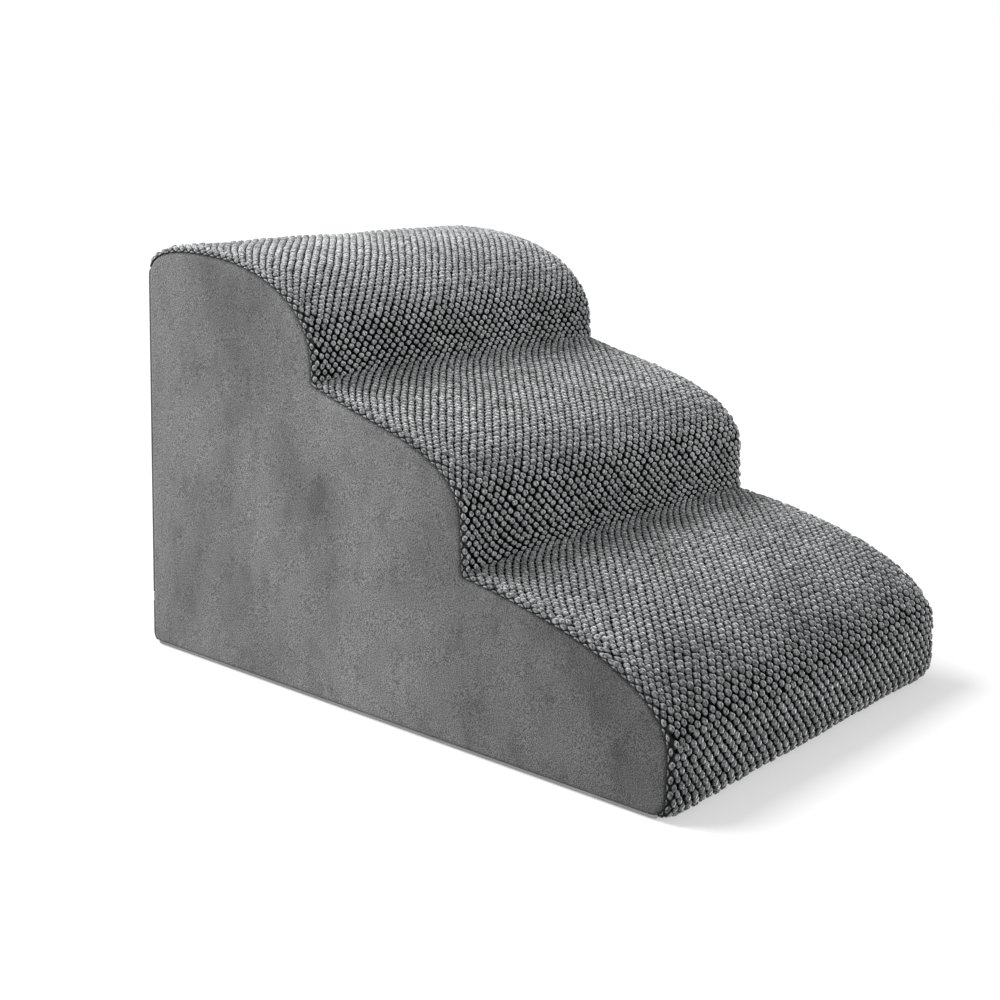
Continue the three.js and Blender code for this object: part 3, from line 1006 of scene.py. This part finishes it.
def moulded_material(name, dark, light, roughness, **sockets):
    """Nylon, rubber or metal, with faint cloudiness and tiny marks."""
    material, nodes, links = new_material(name)
    patch = object_noise(nodes, links, 300, 5)
    tone = ramp(nodes, links, patch, [(0.3, grey(dark)), (0.7, grey(light))])
    normal = bump(nodes, links, patch, 0.00008)
    return finish_shader(material, tone, normal, roughness, **sockets)


PLUSH = plush_material()
VELVET = velvet_material()
NONSLIP = woven_material("nonslip_cloth", 0.34, 0.9)
FOAM = foam_material()
TAPE = woven_material("zip_tape", 0.14, 0.5)
THREAD = woven_material("thread", 0.2, 0.4, 0.0001)
RUBBER = moulded_material("grip_rubber", 0.3, 0.36, 0.55)
COIL = moulded_material("zip_coil", 0.09, 0.13, 0.4)
ZINC = moulded_material("zip_metal", 0.16, 0.24, 0.33, Metallic=0.85)


# ---------------------------------------------------------------- the foam inside

FOAM_INSET = 5.0  # from the cover to the foam's sides
FOAM_DEPTH = 3.6  # and to its stepped outline
FOAM_ROUNDING = 2.0


def cut_level(points, level, keep_above):
    """The part of a (y, z) outline above or below a level."""
    kept = []
    for here, ahead in zip(points, np.roll(points, -1, axis=0)):
        side = [(point[1] - level) * (1 if keep_above else -1) for point in (here, ahead)]
        if side[0] >= 0:
            kept.append(here)
        if side[0] * side[1] < 0:
            kept.append(here + (ahead - here) * side[0] / (side[0] - side[1]))
    return np.array(kept)


def foam_block(name, node, material):
    """A foam slab between its two levels, a little smaller than the cover all round."""
    (_, _, low), (_, _, high) = node_box_mm(node)
    s = np.arange(0, ROUND_LENGTH, 4.0)
    outline = sample(OUTLINE, s) - normals(OUTLINE, s, 4) * FOAM_DEPTH
    outline = cut_level(cut_level(outline, low + 0.3, True), high - 0.3, False)
    work = bmesh.new()
    sides = []
    for sign in (-1, 1):
        width = half_width(outline[:, 0], outline[:, 1], sign) - FOAM_INSET
        sides.append([work.verts.new((sign * x * MM, y * MM, z * MM)) for x, (y, z) in zip(width, outline)])
    for k in range(len(outline)):
        j = (k + 1) % len(outline)
        work.faces.new((sides[0][k], sides[1][k], sides[1][j], sides[0][j]))
    work.faces.new(sides[0])
    work.faces.new(sides[1][::-1])
    bmesh.ops.recalc_face_normals(work, faces=work.faces)
    edges = [edge for edge in work.edges if edge.calc_face_angle(0) > 0.7]
    bmesh.ops.bevel(
        work, geom=edges, offset=FOAM_ROUNDING * MM, segments=3, affect="EDGES", clamp_overlap=True
    )
    mesh = bpy.data.meshes.new(name)
    work.to_mesh(mesh)
    work.free()
    mesh.materials.append(material)
    block = bpy.data.objects.new(name, mesh)
    bpy.context.scene.collection.objects.link(block)
    return block


# ---------------------------------------------------------------- putting the pieces in

def place_piece(piece, body, slot, *nodes):
    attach(piece, body)
    if nodes:
        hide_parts(*nodes)


FOAM_BLOCKS = ("foam_base_block", "foam_middle_block", "foam_top_block")


def build_sides():
    for side, sign in (("left", -1), ("right", 1)):
        panel = side_panel(side + "_side_velvet", sign, VELVET)
        place_piece(panel, "stair", "velvet", side + "_side_panel")


def build_cross_panels():
    back_top = length_at(BACK_Y, BACK_CURVE_END_Z)
    hem_high = node_box_mm("back_panel_upper")[0][2]
    hem_low = node_box_mm("back_panel_lower")[1][2]
    spans = (
        ("back_velvet_upper", TREAD_END, back_top + BACK_CURVE_END_Z - hem_high, (False, True)),
        ("back_velvet_lower", back_top + BACK_CURVE_END_Z - hem_low, BACK_FOOT, (True, False)),
        ("bottom_cloth", BACK_FOOT, ROUND_LENGTH + TREAD_START, (False, False)),
    )
    nodes = ("back_panel_upper", "back_panel_lower", "bottom_panel")
    for (name, start, end, hems), node in zip(spans, nodes):
        bottom = node == "bottom_panel"
        s = np.linspace(start, end, int((end - start) / 4) + 8)
        panel = cross_panel(name, s, NONSLIP if bottom else VELVET, hems, bottom)
        place_piece(panel, "stair", "nonslip_cloth" if bottom else "velvet", node)
        goes_with = []
        if bottom:
            goes_with.append(grip_dots("bottom_grip_dots", RUBBER))
        else:
            upper = node == "back_panel_upper"
            z = hem_high + HEM_STITCH if upper else hem_low - HEM_STITCH
            reach = half_width(BACK_Y, z) - STITCH_MARGIN
            goes_with.append(stitch_row(name + "_topstitch", z, BACK_Y, -reach, reach, THREAD))
        place_piece(goes_with[0], "stair", "nonslip_cloth" if bottom else "velvet")


def build_treads():
    for strip in plush_strips(PLUSH):
        place_piece(strip, "stair", "pebble_plush", "tread_panel")


def build_foam():
    for name in FOAM_BLOCKS:
        node = name.replace("_block", "_slab")
        block = foam_block(name, node, FOAM)
        place_piece(block, "stair", "foam", node)


def build_zip():
    low, high = node_box_mm("zip_tape_upper")
    flat = ((high[2] - low[2]) * MM, (high[0] - low[0]) * MM)
    for side in ("upper", "lower"):
        coil = coil_teeth("coil_" + side, side, COIL)
        place_piece(coil, "stair", "zip_coil", "zip_coil_" + side)
        tape = zip_tape("tape_" + side, side, TAPE)
        place_piece(tape, "stair", "zip_tape", "zip_tape_" + side)
    for end, sign in (("left", -1), ("right", 1)):
        tab, flat = zip_end_tab("zip_end_tab_" + end, sign, VELVET)
        place_piece(tab, "stair", "velvet")
    for name in ("zip_top_stop_upper", "zip_top_stop_lower", "zip_bottom_stop", "zip_slider", "zip_pull"):
        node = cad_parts[name]
        node.data.materials.clear()
        node.data.materials.append(ZINC)


build_sides()
build_cross_panels()
build_foam()
build_zip()
build_treads()


# ---------------------------------------------------------------- studio

def studio():
    floor_shader, nodes, _ = new_material("studio_floor")
    table = nodes["Principled BSDF"].inputs
    table["Base Color"].default_value = grey(0.4)
    table["Roughness"].default_value = 0.95
    table["Emission Color"].default_value = grey(1.0)
    table["Emission Strength"].default_value = 0.48
    far = 30000
    corners = [(-far, -far, -0.6), (far, -far, -0.6), (far, far, -0.6), (-far, far, -0.6)]
    floor = mesh_object("studio_floor", corners, [(0, 1, 2, 3)], floor_shader)
    lamp("key", 4.4, 32, (0.38, -0.8, -1.0))
    lamp("fill", 1.0, 20, (-0.35, 0.85, -0.4))
    sky()


def lamp(name, energy, spread, direction):
    """A distant soft lamp that shines in a direction."""
    light = bpy.data.lights.new(name, "SUN")
    light.energy = energy
    light.angle = math.radians(spread)
    holder = bpy.data.objects.new(name, light)
    holder.rotation_euler = Vector(direction).to_track_quat("-Z", "Y").to_euler()
    bpy.context.scene.collection.objects.link(holder)


def sky():
    """A pale studio, white at eye level and softer overhead."""
    world = bpy.data.worlds.new("studio")
    world.use_nodes = True
    nodes, links = world.node_tree.nodes, world.node_tree.links
    split = nodes.new("ShaderNodeSeparateXYZ")
    links.new(nodes.new("ShaderNodeTexCoord").outputs["Generated"], split.inputs["Vector"])
    tone = ramp(nodes, links, split.outputs["Z"], [(0.08, grey(1.0)), (0.25, grey(0.5))])
    links.new(tone, nodes["Background"].inputs["Color"])
    bpy.context.scene.world = world


def camera():
    """The viewpoint: bearing, tilt and roll in degrees, and the place in metres."""
    bearing, tilt, roll = 50.04, 11.63, 0.76
    data = bpy.data.cameras.new("camera")
    data.sensor_width = 36
    data.lens = 59.0
    data.shift_y = -0.06
    seen = bpy.data.objects.new("camera", data)
    turn = Matrix.Rotation(math.radians(-bearing), 4, "Z")
    turn = turn @ Matrix.Rotation(math.radians(90 - tilt), 4, "X")
    turn = turn @ Matrix.Rotation(math.radians(roll), 4, "Z")
    seen.matrix_world = Matrix.Translation((-1.1266, -0.9082, 0.5067)) @ turn
    bpy.context.scene.collection.objects.link(seen)
    bpy.context.scene.camera = seen


studio()
camera()
bpy.context.scene.view_settings.view_transform = "Standard"
